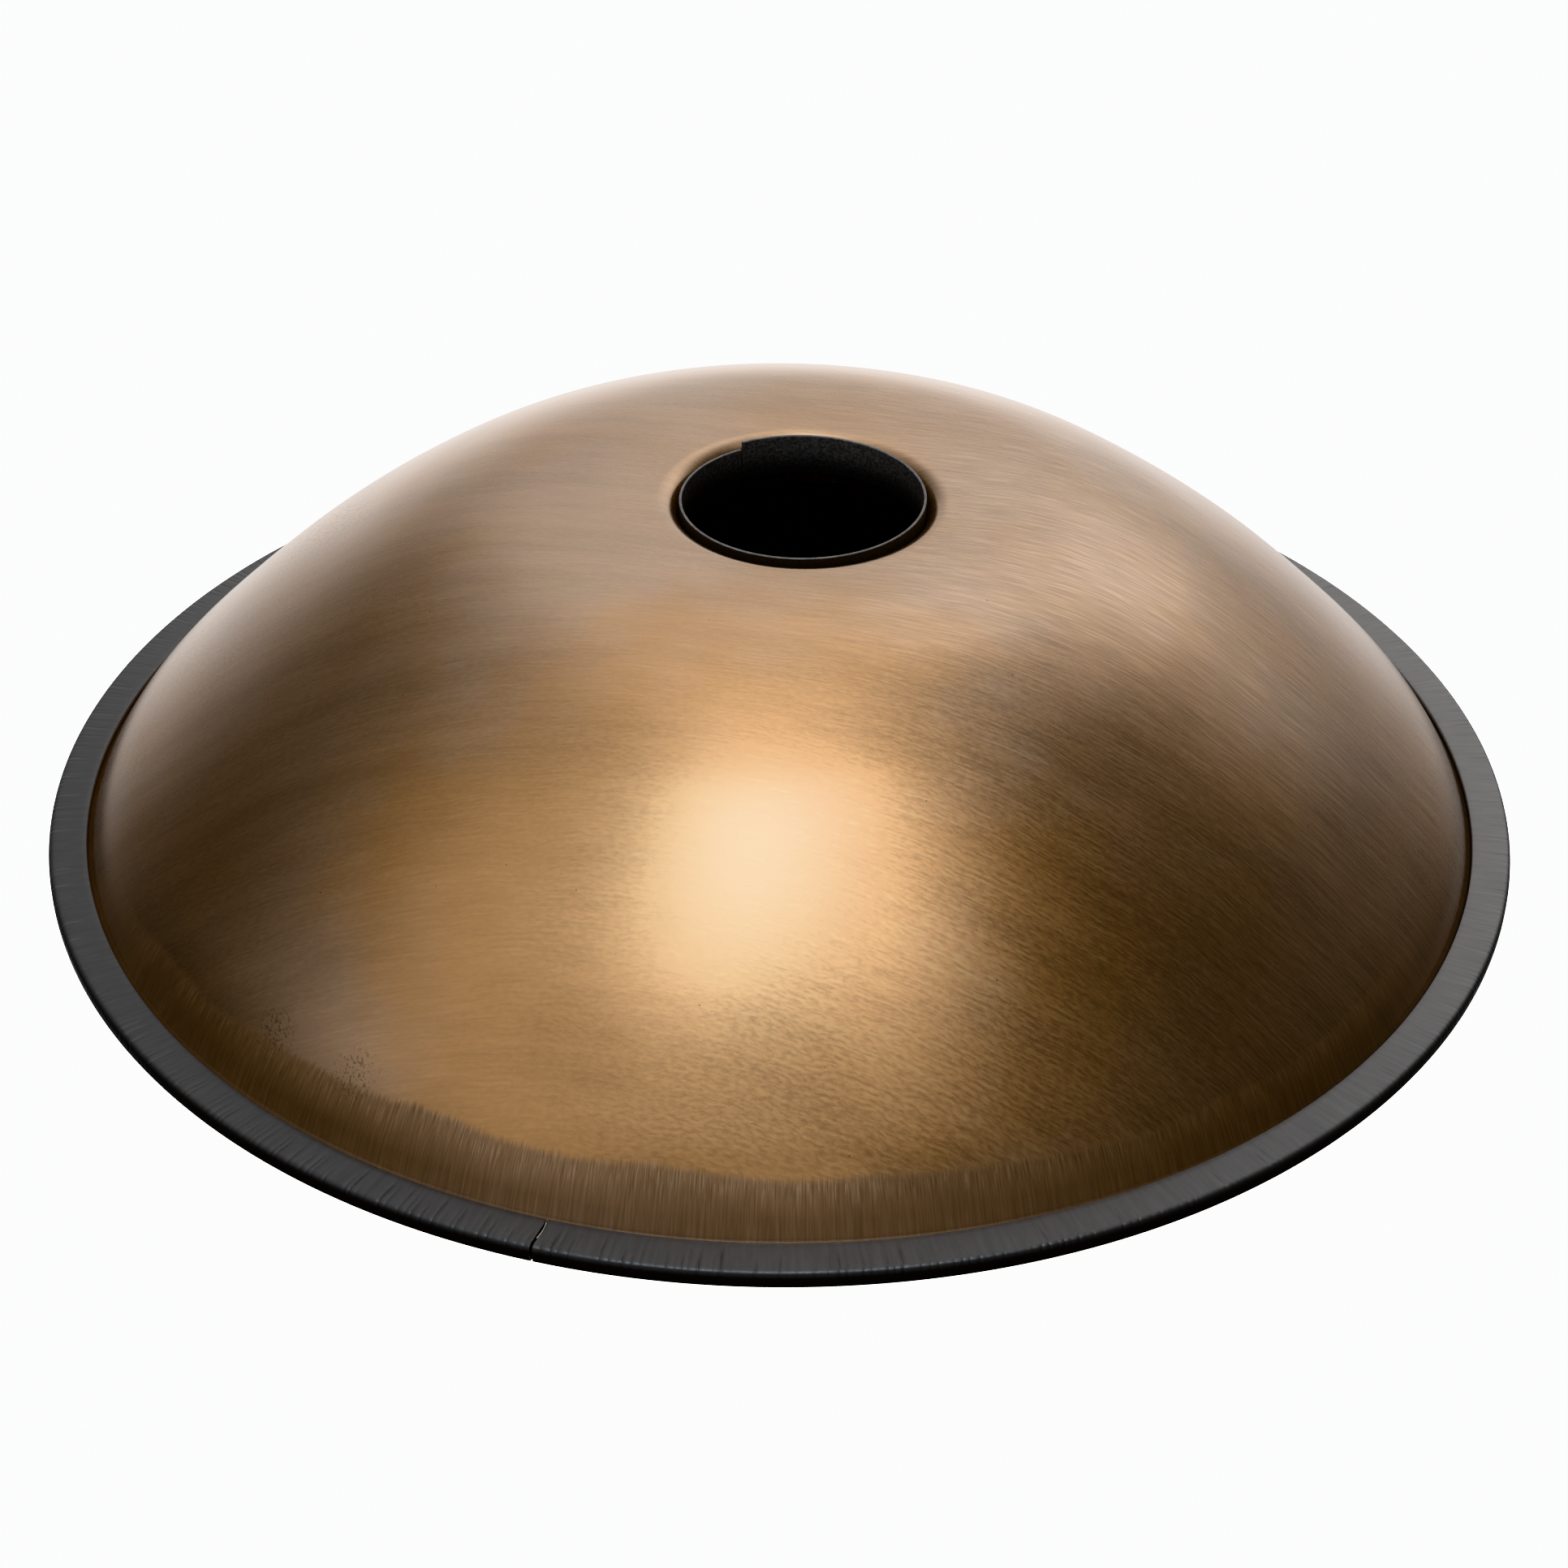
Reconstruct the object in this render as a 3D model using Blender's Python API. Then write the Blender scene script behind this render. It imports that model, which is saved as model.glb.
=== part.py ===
"""A handpan lying on its playing side, with the port side up.

Two dished steel shells are glued flange to flange. A U-shaped edge trim, gripped by a steel
carrier, covers the two flanges, and a thin strip lines the port of the upper (gu) shell.

Frame: metres, +Z up through the port side, +X and +Y in the plane of the rim. The origin is
where the instrument stands: under the rim's centre, level with the flat ring around the ding.
"""

import math

import bmesh
import bpy
from mathutils import Vector

# ---------------------------------------------------------------- driving dimensions (metres)
SHEET = 0.0010            # steel sheet of both shells
TOUCH = 0.0003            # gap between pieces that touch
SEGMENTS = 60             # facets round every turned piece
SEAM_ANGLE = math.radians(254)   # where the edge trim's two ends meet

RIM_RADIUS = 0.265        # outside of the edge trim
RIM_HEIGHT = 0.118        # joint plane of the two shells above the resting ring
TRIM_THICK = 0.0067       # edge trim, top face to bottom face
TRIM_DEPTH = 0.0136       # edge trim, mouth to outer edge
TRIM_WALL = 0.00085
TRIM_CORNER = 0.0022      # rounding of the outer edges
TRIM_EASE = 0.0004        # small chamfer at the mouth
TRIM_LIP = 0.0008         # lip that turns in at the mouth and holds the carrier
TRIM_SLIT = 0.0010        # gap between the two ends of the trim
CARRIER_THICK = 0.0004
CARRIER_SLIT = 0.0020     # the carrier ends a little short of the trim's ends
ADHESIVE_THICK = 0.0004

FOOT_RADIUS = 0.2506      # where the dome's slope would meet the flange
FILLET = 0.0030           # hollow between dome and flange
FLANGE_RADIUS = 0.2629
FLANGE_TOP = ADHESIVE_THICK / 2 + TOUCH + SHEET   # its upper face, above the joint plane
GLUE_INNER = FOOT_RADIUS + 0.0030
GLUE_OUTER = FLANGE_RADIUS - 0.0005

PORT_OFFSET = 0.0072      # port centre off the rim's centre, along +X
PORT_BORE = 0.0434        # radius of the port's steel neck
PORT_LIP = 0.0510         # radius where the dome starts to roll down into the neck
PORT_ROLL = PORT_LIP - PORT_BORE      # radius of that roll, a quarter of a circle
PORT_DEPTH = 0.0175       # top of the dome to the lower edge of the neck
PORT_SPREAD = 0.130       # the port's offset fades out between its crest and this radius

STRIP_THICK = 0.0010
STRIP_RADIUS = 0.0431     # outside of the port strip
STRIP_HEIGHT = 0.0150
STRIP_TOP = 0.1190        # mean height of its top edge above the joint plane
STRIP_CLIMB = 0.0028      # one end stands this much higher than the other
STRIP_ANGLE = math.radians(121)  # where its two ends meet
STRIP_SLIT = 0.0008
STRIP_SEGMENTS = 48

# Heights above the joint plane of the gu dome's outside, from a point over the port's roll out
# to the foot. The ding dome has the same kind of outline, measured downwards.
GU_OUTLINE = ((0.0484, 0.1185), (0.080, 0.1177), (0.110, 0.1128), (0.140, 0.1004),
              (0.170, 0.0809), (0.200, 0.0570), (0.230, 0.0282), (0.242, 0.0149),
              (FOOT_RADIUS, 0.0022))
RING_OUTER = 0.088        # the flat ring that the instrument stands on
RING_INNER = 0.062
DING_OUTLINE = ((RING_OUTER, RIM_HEIGHT), (0.112, 0.1128), (0.140, 0.1004), (0.170, 0.0809),
                (0.200, 0.0570), (0.230, 0.0282), (0.242, 0.0149), (FOOT_RADIUS, 0.0022))
DING_RISE = 0.018         # the ding is dished inwards by this much

FIELD_COUNT = 8           # tone fields round the ding
FIELD_RING = 0.170        # radius of their centres
FIELD_ALONG = 0.054       # half length, round the shell
FIELD_ACROSS = 0.046      # half width, up the slope
FIELD_SHRINK = 0.025      # each higher note is this much smaller
FIELD_DEPTH = 0.0022      # how far a field is flattened into the shell
FIELD_STRETCH = 1.25      # a field is this much rounder than its length and width say
FIELD_EDGE = (0.75, 1.15) # its flattening fades out between these shares of its size
DIMPLE_SIZE = 0.42        # dimple, as a share of its field
DIMPLE_DEPTH = 0.0030
FIELDS_INNER = RING_OUTER + 0.004     # the fields stay outside this radius
FIELDS_OUTER = 0.235                  # and inside this one

# Radii of the rings of points that the two domes are made from.
GU_RADII = (0.060, 0.080, 0.100, 0.120, 0.140, 0.162, 0.186, 0.210, 0.230, 0.244)
DISH_RADII = (0.0, 0.016, 0.032, 0.047)
DING_RADII = tuple(0.101 + 0.0122 * step for step in range(12)) + (0.245,)

ROUND_STEPS = 3           # facets of a rounded corner
ROLL_STEPS = 5            # facets of the roll into the port
SHARP_ANGLE = math.radians(35)
SLOPE_STEP = 0.002        # reach over which a slope is measured
CLEAR = 0.00001


# ---------------------------------------------------------------- small helpers
def clear_scene():
    for old in list(bpy.data.objects):
        bpy.data.objects.remove(old, do_unlink=True)
    for old in list(bpy.data.meshes):
        bpy.data.meshes.remove(old)


def material(name, colour, roughness, metallic):
    made = bpy.data.materials.new(name)
    made.use_nodes = True
    shader = made.node_tree.nodes["Principled BSDF"]
    shader.inputs["Base Color"].default_value = (*colour, 1.0)
    shader.inputs["Roughness"].default_value = roughness
    shader.inputs["Metallic"].default_value = metallic
    made.diffuse_color = (*colour, 1.0)
    return made


def smooth(value):
    """0 to 1 with level ends."""
    value = min(max(value, 0.0), 1.0)
    return value * value * (3.0 - 2.0 * value)


def slope_at(outline, index):
    """Tangent of the outline's curve at one of its points."""
    low = outline[max(index - 1, 0)]
    high = outline[min(index + 1, len(outline) - 1)]
    return (high[1] - low[1]) / (high[0] - low[0])


def height_at(outline, radius):
    """Height of the smooth curve through the outline's points."""
    index = 0
    while index < len(outline) - 2 and radius > outline[index + 1][0]:
        index += 1
    (r0, h0), (r1, h1) = outline[index], outline[index + 1]
    span = r1 - r0
    t = (radius - r0) / span
    m0 = 0.0 if index == 0 else slope_at(outline, index) * span
    m1 = slope_at(outline, index + 1) * span
    return ((2 * t**3 - 3 * t**2 + 1) * h0 + (t**3 - 2 * t**2 + t) * m0
            + (3 * t**2 - 2 * t**3) * h1 + (t**3 - t**2) * m1)


def arc(centre, radius, start, end, steps):
    """Points of an arc in the section plane, angles in degrees from outwards to upwards."""
    points = []
    for step in range(steps + 1):
        angle = math.radians(start + (end - start) * step / steps)
        points.append((centre[0] + radius * math.cos(angle), centre[1] + radius * math.sin(angle)))
    return points


def offset_line(points, distance):
    """The same line moved sideways: to the right of its direction of travel."""
    moved = []
    for index, point in enumerate(points):
        before = Vector(points[max(index - 1, 0)])
        after = Vector(points[min(index + 1, len(points) - 1)])
        here = Vector(point)
        sides = []
        for start, end in ((before, here), (here, after)):
            run = end - start
            if run.length > CLEAR:
                run.normalize()
                sides.append(Vector((run.y, -run.x)))
        if len(sides) == 2:
            middle = (sides[0] + sides[1]).normalized()
            reach = distance / max(middle.dot(sides[0]), 0.5)
        else:
            middle = sides[0]
            reach = distance
        moved.append(tuple(here + middle * reach))
    return moved


def turned(name, section, look, slit=0.0, seam=SEAM_ANGLE, segments=SEGMENTS):
    """Turn a closed section, in (radius, height above the joint plane), about the Z axis.

    A section that starts and ends on the axis is closed there. A slit, an angle in radians,
    leaves a split ring with flat ends on the two sides of its seam.
    """
    bm = bmesh.new()
    start = seam + slit / 2
    verts = [bm.verts.new((r * math.cos(start), r * math.sin(start), h + RIM_HEIGHT))
             for r, h in section]
    edges = [bm.edges.new(pair) for pair in zip(verts, verts[1:])]
    if section[0][0] > CLEAR:
        edges.append(bm.edges.new((verts[-1], verts[0])))
    spun = bmesh.ops.spin(bm, geom=verts + edges, cent=(0, 0, 0), axis=(0, 0, 1),
                          angle=2 * math.pi - slit, steps=segments,
                          use_merge=slit == 0.0, use_duplicate=False)
    if slit > 0.0:
        far_edges = [item for item in spun["geom_last"] if isinstance(item, bmesh.types.BMEdge)]
        bmesh.ops.edgeloop_fill(bm, edges=edges)
        bmesh.ops.edgeloop_fill(bm, edges=far_edges)
    bmesh.ops.remove_doubles(bm, verts=bm.verts, dist=CLEAR)
    bmesh.ops.recalc_face_normals(bm, faces=bm.faces)
    mesh = bpy.data.meshes.new(name)
    bm.to_mesh(mesh)
    bm.free()
    mesh.shade_smooth()
    mesh.set_sharp_from_angle(angle=SHARP_ANGLE)
    mesh.materials.append(look)
    made = bpy.data.objects.new(name, mesh)
    bpy.context.scene.collection.objects.link(made)
    return made


# ---------------------------------------------------------------- the shells
def foot_line(outline):
    """The hollow from the dome into the flange, and the flange out to its edge."""
    rise = outline[-1][1] - outline[-2][1]
    slope = math.degrees(math.atan2(-rise, outline[-1][0] - outline[-2][0]))
    tangent = FILLET * math.tan(math.radians(slope / 2))
    centre = (FOOT_RADIUS + tangent, FLANGE_TOP + FILLET)
    line = arc(centre, FILLET, 270 - slope, 270, ROUND_STEPS)
    return line + [(FLANGE_RADIUS, FLANGE_TOP)]


def sheet_section(line):
    """Close a line of the outside into a sheet, with its second face underneath."""
    return line + offset_line(line, SHEET)[::-1]


def gu_section():
    """From the neck's lower edge over the roll and down the dome to the flange, and back."""
    crest_radius, crest_height = GU_OUTLINE[0]
    line = [(PORT_BORE, crest_height - PORT_DEPTH)]
    for step in range(ROLL_STEPS + 1):
        angle = math.pi / 2 * step / ROLL_STEPS
        radius = PORT_LIP - PORT_ROLL * math.cos(angle)
        height = height_at(GU_OUTLINE, max(radius, crest_radius))
        line.append((radius, height - PORT_ROLL * (1.0 - math.sin(angle))))
    line += [(radius, height_at(GU_OUTLINE, radius)) for radius in GU_RADII]
    return sheet_section(line + foot_line(GU_OUTLINE))


def port_shift(radius):
    """How far the port's offset carries a point of the gu shell along +X."""
    crest = GU_OUTLINE[0][0]
    return PORT_OFFSET * (1.0 - smooth((radius - crest) / (PORT_SPREAD - crest)))


def make_gu_shell(look):
    """The upper shell: a dome with a plain port, whose edge rolls inwards into a short neck."""
    shell = turned("gu_shell", gu_section(), look)
    for vertex in shell.data.vertices:
        radius = math.hypot(vertex.co.x, vertex.co.y)
        vertex.co.x += port_shift(radius)
    return shell


def ding_section():
    """The same kind of dome seen from below: heights are depths under the joint plane."""
    line = []
    for radius in DISH_RADII:
        dish = math.cos(math.pi / 2 * radius / RING_INNER) ** 2
        line.append((radius, RIM_HEIGHT - DING_RISE * dish))
    line += [(RING_INNER, RIM_HEIGHT), (RING_OUTER, RIM_HEIGHT)]
    line += [(radius, height_at(DING_OUTLINE, radius)) for radius in DING_RADII]
    depths = sheet_section(line + foot_line(DING_OUTLINE))
    depths[-1] = (0.0, depths[-1][1])
    return [(radius, -depth) for radius, depth in depths]


def field_depth(radius, angle):
    """How far the tone fields and their dimples press a point of the ding shell inwards."""
    pressed = 0.0
    for note in range(FIELD_COUNT):
        size = 1.0 + FIELD_SHRINK * (FIELD_COUNT / 2 - note)
        centre = 2 * math.pi * (note + 0.5) / FIELD_COUNT
        around = math.atan2(math.sin(angle - centre), math.cos(angle - centre)) * FIELD_RING
        up = (radius - FIELD_RING) * FIELD_STRETCH
        share = math.hypot(around / (FIELD_ALONG * size), up / (FIELD_ACROSS * size))
        full, gone = FIELD_EDGE
        pressed += FIELD_DEPTH * (1.0 - smooth((share - full) / (gone - full)))
        pressed += DIMPLE_DEPTH * (1.0 - smooth(share / DIMPLE_SIZE))
    return pressed


def make_ding_shell(look):
    """The lower, playing shell: the dished ding, the flat ring round it and the tone fields."""
    shell = turned("ding_shell", ding_section(), look)
    for vertex in shell.data.vertices:
        radius = math.hypot(vertex.co.x, vertex.co.y)
        if FIELDS_INNER < radius < FIELDS_OUTER:
            angle = math.atan2(vertex.co.y, vertex.co.x)
            drop = (height_at(DING_OUTLINE, radius - SLOPE_STEP)
                    - height_at(DING_OUTLINE, radius + SLOPE_STEP)) / (2 * SLOPE_STEP)
            inward = Vector((-drop * math.cos(angle), -drop * math.sin(angle), 1.0)).normalized()
            vertex.co += inward * field_depth(radius, angle)
    return shell


# ---------------------------------------------------------------- the rim
def make_rim_adhesive(look):
    """The glue line between the two flanges."""
    half = ADHESIVE_THICK / 2
    section = [(GLUE_INNER, half), (GLUE_OUTER, half), (GLUE_OUTER, -half), (GLUE_INNER, -half)]
    return turned("rim_adhesive", section, look)


def mirrored(upper):
    """A section symmetric about the joint plane, from the points of its upper half."""
    return upper + [(radius, -height) for radius, height in reversed(upper)]


def make_rim_trim(look):
    """The edge trim: a split U-shaped band with rounded outer edges and a lipped mouth."""
    top = TRIM_THICK / 2
    mouth = RIM_RADIUS - TRIM_DEPTH
    lip = FLANGE_TOP + TOUCH
    outside = [(mouth, lip), (mouth, top - TRIM_EASE), (mouth + TRIM_EASE, top)]
    corner = (RIM_RADIUS - TRIM_CORNER, top - TRIM_CORNER)
    outside += arc(corner, TRIM_CORNER, 90, 0, ROUND_STEPS)
    inside = [(RIM_RADIUS - TRIM_WALL, top - TRIM_WALL),
              (mouth + TRIM_LIP, top - TRIM_WALL), (mouth + TRIM_LIP, lip)]
    section = mirrored(outside) + mirrored(inside[::-1])[::-1]
    return turned("rim_trim", section, look, slit=TRIM_SLIT / RIM_RADIUS)


def make_rim_trim_carrier(look):
    """The steel channel inside the edge trim, which makes it grip the flanges."""
    mouth = RIM_RADIUS - TRIM_DEPTH + TRIM_LIP + TOUCH
    top = FLANGE_TOP + TOUCH + CARRIER_THICK
    web = FLANGE_RADIUS + TOUCH + CARRIER_THICK
    outside = [(mouth, top), (web, top)]
    inside = [(web - CARRIER_THICK, top - CARRIER_THICK), (mouth, top - CARRIER_THICK)]
    section = mirrored(outside) + mirrored(inside[::-1])[::-1]
    return turned("rim_trim_carrier", section, look, slit=CARRIER_SLIT / RIM_RADIUS)


# ---------------------------------------------------------------- the port
def make_port_trim(look):
    """The strip that lines the port: it climbs a little from one end to the other."""
    inner = STRIP_RADIUS - STRIP_THICK
    section = [(STRIP_RADIUS, STRIP_TOP), (STRIP_RADIUS, STRIP_TOP - STRIP_HEIGHT),
               (inner, STRIP_TOP - STRIP_HEIGHT), (inner, STRIP_TOP)]
    strip = turned("port_trim", section, look, slit=STRIP_SLIT / STRIP_RADIUS,
                   seam=STRIP_ANGLE, segments=STRIP_SEGMENTS)
    for vertex in strip.data.vertices:
        turn = (math.atan2(vertex.co.y, vertex.co.x) - STRIP_ANGLE) % (2 * math.pi)
        vertex.co.z += STRIP_CLIMB * (turn / (2 * math.pi) - 0.5)
        vertex.co.x += PORT_OFFSET
    return strip


def build():
    clear_scene()
    steel_gu = material("gu_steel", (0.42, 0.28, 0.16), 0.34, 1.0)
    steel_ding = material("ding_steel", (0.40, 0.26, 0.15), 0.36, 1.0)
    black_trim = material("edge_trim", (0.045, 0.045, 0.047), 0.55, 0.0)
    carrier = material("carrier_steel", (0.55, 0.55, 0.56), 0.35, 1.0)
    glue = material("adhesive", (0.30, 0.29, 0.26), 0.60, 0.0)
    lining = material("port_lining", (0.018, 0.018, 0.020), 0.80, 0.0)
    make_gu_shell(steel_gu)
    make_ding_shell(steel_ding)
    make_rim_adhesive(glue)
    make_rim_trim(black_trim)
    make_rim_trim_carrier(carrier)
    make_port_trim(lining)


build()
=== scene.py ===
"""The looks of a handpan that lies on its playing side: brushed bronze-coloured steel shells,
a ribbed black edge trim, and a black strip that lines the port.

Every size is in metres. The frame's own boxes give the rim and the port; heights of the domes
are measured from the plane where the two shells are joined.
"""

import math

import bmesh
import bpy
import numpy as np
from mathutils import Matrix, Vector


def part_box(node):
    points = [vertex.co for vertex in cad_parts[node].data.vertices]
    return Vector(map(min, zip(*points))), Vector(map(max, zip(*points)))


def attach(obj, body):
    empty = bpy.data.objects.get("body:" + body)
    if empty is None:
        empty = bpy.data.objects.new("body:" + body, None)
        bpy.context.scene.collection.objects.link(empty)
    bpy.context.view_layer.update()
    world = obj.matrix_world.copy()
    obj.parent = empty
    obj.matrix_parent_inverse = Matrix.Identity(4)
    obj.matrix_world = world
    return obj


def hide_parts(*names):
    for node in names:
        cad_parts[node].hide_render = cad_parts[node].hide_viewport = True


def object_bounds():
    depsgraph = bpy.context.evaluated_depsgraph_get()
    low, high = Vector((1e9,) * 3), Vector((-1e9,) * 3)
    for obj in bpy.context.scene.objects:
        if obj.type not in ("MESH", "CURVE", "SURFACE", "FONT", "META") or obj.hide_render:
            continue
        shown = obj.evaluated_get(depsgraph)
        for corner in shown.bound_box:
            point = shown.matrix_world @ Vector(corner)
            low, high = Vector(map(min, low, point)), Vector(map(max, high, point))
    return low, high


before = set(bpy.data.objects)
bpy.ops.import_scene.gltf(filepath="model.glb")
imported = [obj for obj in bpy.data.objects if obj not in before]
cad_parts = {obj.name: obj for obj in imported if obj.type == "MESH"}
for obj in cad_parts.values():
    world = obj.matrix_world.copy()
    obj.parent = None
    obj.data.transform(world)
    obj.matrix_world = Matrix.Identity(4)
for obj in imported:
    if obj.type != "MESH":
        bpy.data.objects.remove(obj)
CAD_LOW, CAD_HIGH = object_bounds()
TAU = 2 * math.pi

# ---------------------------------------------------------------- sizes read from the frame
TRIM_LOW, TRIM_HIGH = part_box("rim_trim")
STRIP_LOW, STRIP_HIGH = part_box("port_trim")
JOINT_Z = (TRIM_LOW.z + TRIM_HIGH.z) / 2
PORT_X = (STRIP_LOW.x + STRIP_HIGH.x) / 2
PORT_Y = (STRIP_LOW.y + STRIP_HIGH.y) / 2

# ---------------------------------------------------------------- sizes of the shells
TOUCH = 0.0003                   # gap between pieces that touch
SHELL_SEGMENTS = 320
SHEET = 0.0010
FLANGE_TOP = 0.0015
FOOT_RADIUS = 0.2506
FLANGE_RADIUS = 0.2629
FILLET = 0.0030
PORT_BORE = 0.0434
PORT_LIP = 0.0510
PORT_DEPTH = 0.0175
PORT_SPREAD = 0.130
# Radius and height of points on the gu dome's outside. The heights follow a fitted profile.
GU_OUTLINE = ((0.0484, 0.1185), (0.080, 0.1177), (0.110, 0.1128), (0.140, 0.1004),
              (0.170, 0.0809), (0.200, 0.0570), (0.230, 0.0282), (0.242, 0.0149),
              (FOOT_RADIUS, 0.0022))
RING_OUTER = 0.088
RING_INNER = 0.062
RING_DEPTH = JOINT_Z
DING_OUTLINE = ((RING_OUTER, RING_DEPTH),) + GU_OUTLINE[2:]
DING_RISE = 0.018
FIELD_COUNT = 8
FIELD_RING = 0.170
FIELD_ALONG = 0.054
FIELD_ACROSS = 0.046
FIELD_SHRINK = 0.025
FIELD_DEPTH = 0.0022
FIELD_STRETCH = 1.25             # narrows a field along the radius
FIELD_EDGE = 0.75                # a field's flattening fades out from this share of its size
FIELD_FADE = 0.4                 # and has ended this much further out
DIMPLE_SIZE = 0.42
DIMPLE_DEPTH = 0.0030

# ---------------------------------------------------------------- sizes of the rim and the port
RIM_RADIUS = 0.265
SEAM = math.radians(254)
SEAM_SWAY = 0.0005               # sideways bend of the trim's butt joint
SEAM_TURNS = 0.85
TRIM_THICK = 0.0067
TRIM_DEPTH = 0.0136
TRIM_WALL = 0.00085
TRIM_CORNER = 0.0022
TRIM_LIP = 0.0008
TRIM_SLIT = 0.0009
TRIM_EASE = 0.0004
CARRIER_THICK = 0.0004
CARRIER_CLIPS = 264
CLIP_SHARE = 0.72                # how much of its pitch a clip takes up
CARRIER_SLIT = 0.0024            # gap between the carrier's two ends
GLUE_THICK = 0.0004
GLUE_INNER = FOOT_RADIUS + 0.0030
GLUE_OUTER = FLANGE_RADIUS - 0.0005
RIB_PITCH = 0.0025
RIB_WIDTH = 0.0003
RIB_DEPTH = 0.00010
STRIP_OUTSIDE = 0.0431
STRIP_THICK = 0.0010
STRIP_HEIGHT = 0.0150
STRIP_TOP = 0.1190
STRIP_CLIMB = 0.0028
STRIP_SEAM = math.radians(121)
STRIP_SLIT = 0.0008

# ---------------------------------------------------------------- brushing of the bronze finish
BRUSH_ANGLE = math.radians(-12)  # direction of the strokes, seen from above
BRUSH_DEPTH = 0.000022
BAND_INNER = 0.2400              # the foot is brushed up and down the slope outside this radius
BAND_WAVE = 0.0022               # and this much higher or lower round the rim
BAND_MIDDLE = math.radians(266)  # it is strong on the front, and fades out
BAND_FADE = math.radians(45)     # between these angles from its middle
BAND_END = math.radians(75)
COARSE_SPOT = (0.050, -0.190, 0.160)   # the brushing is coarsest round here
SCUFFS = ((math.radians(227.6), 0.237, 0.011), (math.radians(236.2), 0.2365, 0.012))

# colours of the finish
GOLD = (0.87, 0.485, 0.215)
COPPER = (0.86, 0.545, 0.325)
GREYED = (0.82, 0.565, 0.385)
WORN_DARK = (0.43, 0.262, 0.148)
WORN_LIGHT = (0.60, 0.375, 0.222)
HAIR_LIGHT = (0.90, 0.620, 0.415)
HAIR_DARK = (0.20, 0.120, 0.070)
CREASE_PAINTED_SHADE = (0.17, 0.098, 0.052)    # painted shade in the hollow at the foot of the dome
CONTACT_SHADOW_PAINTED = (0.030, 0.022, 0.018)     # painted contact shadow in the same hollow on the right, next to the trim
DIRT = (0.16, 0.110, 0.070)

# the thin clear layer of oxide and oil on the finish
COAT_WEIGHT = 1.0
COAT_ROUGH = 0.28
COAT_IOR = 1.65

rng = np.random.default_rng(53)


# ---------------------------------------------------------------- curves and meshes
def smooth(value):
    """0 to 1 with level ends, for numbers and arrays."""
    value = np.clip(value, 0.0, 1.0)
    return value * value * (3.0 - 2.0 * value)


def height_at(outline, radius):
    """Height of the smooth curve through an outline's points, which starts level."""
    r, h = (np.array(column) for column in zip(*outline))
    slopes = np.empty(len(r))
    slopes[1:-1] = (h[2:] - h[:-2]) / (r[2:] - r[:-2])
    slopes[0] = 0.0
    slopes[-1] = (h[-1] - h[-2]) / (r[-1] - r[-2])
    radius = np.asarray(radius, float)
    index = np.clip(np.searchsorted(r, radius, side="left") - 1, 0, len(r) - 2)
    span = r[index + 1] - r[index]
    t = (radius - r[index]) / span
    return ((2 * t**3 - 3 * t**2 + 1) * h[index] + (t**3 - 2 * t**2 + t) * slopes[index] * span
            + (3 * t**2 - 2 * t**3) * h[index + 1] + (t**3 - t**2) * slopes[index + 1] * span)


def arc(centre, radius, start, end, steps):
    """Points of an arc in the section plane, angles in degrees from outwards to upwards."""
    angles = np.radians(np.linspace(start, end, steps + 1))
    return np.stack([centre[0] + radius * np.cos(angles), centre[1] + radius * np.sin(angles)], 1)


def offset_line(points, distance):
    """The line moved sideways, to the right of its direction of travel."""
    tangent = np.gradient(points, axis=0)
    tangent /= np.linalg.norm(tangent, axis=1)[:, None]
    return points + distance * np.stack([tangent[:, 1], -tangent[:, 0]], 1)


def object_from(name, verts, faces, materials, angle=40.0):
    mesh = bpy.data.meshes.new(name)
    mesh.from_pydata([tuple(v) for v in verts], [], [tuple(f) for f in faces])
    mesh.validate()
    solid = bmesh.new()
    solid.from_mesh(mesh)
    bmesh.ops.recalc_face_normals(solid, faces=solid.faces)
    solid.to_mesh(mesh)
    solid.free()
    mesh.shade_smooth()
    mesh.set_sharp_from_angle(angle=math.radians(angle))
    for look in materials:
        mesh.materials.append(look)
    made = bpy.data.objects.new(name, mesh)
    bpy.context.scene.collection.objects.link(made)
    return made


def ring_faces(rows, columns, closed_rows=True, closed_columns=True):
    """Quads of a grid whose vertices run row by row; rows go round the axis."""
    i = np.arange(rows if closed_rows else rows - 1)
    j = np.arange(columns if closed_columns else columns - 1)
    i, j = (a.ravel() for a in np.meshgrid(i, j, indexing="ij"))
    i2, j2 = (i + 1) % rows, (j + 1) % columns
    return np.stack([i * columns + j, i * columns + j2, i2 * columns + j2, i2 * columns + j], 1)


def turn(section, angles):
    """Section points (radius, height) at every angle, as an array angle by point by xyz."""
    radius, height = section[:, 0][None], section[:, 1][None]
    cosine, sine = np.cos(angles)[:, None], np.sin(angles)[:, None]
    return np.stack([radius * cosine, radius * sine, height + 0 * cosine], 2)


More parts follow.
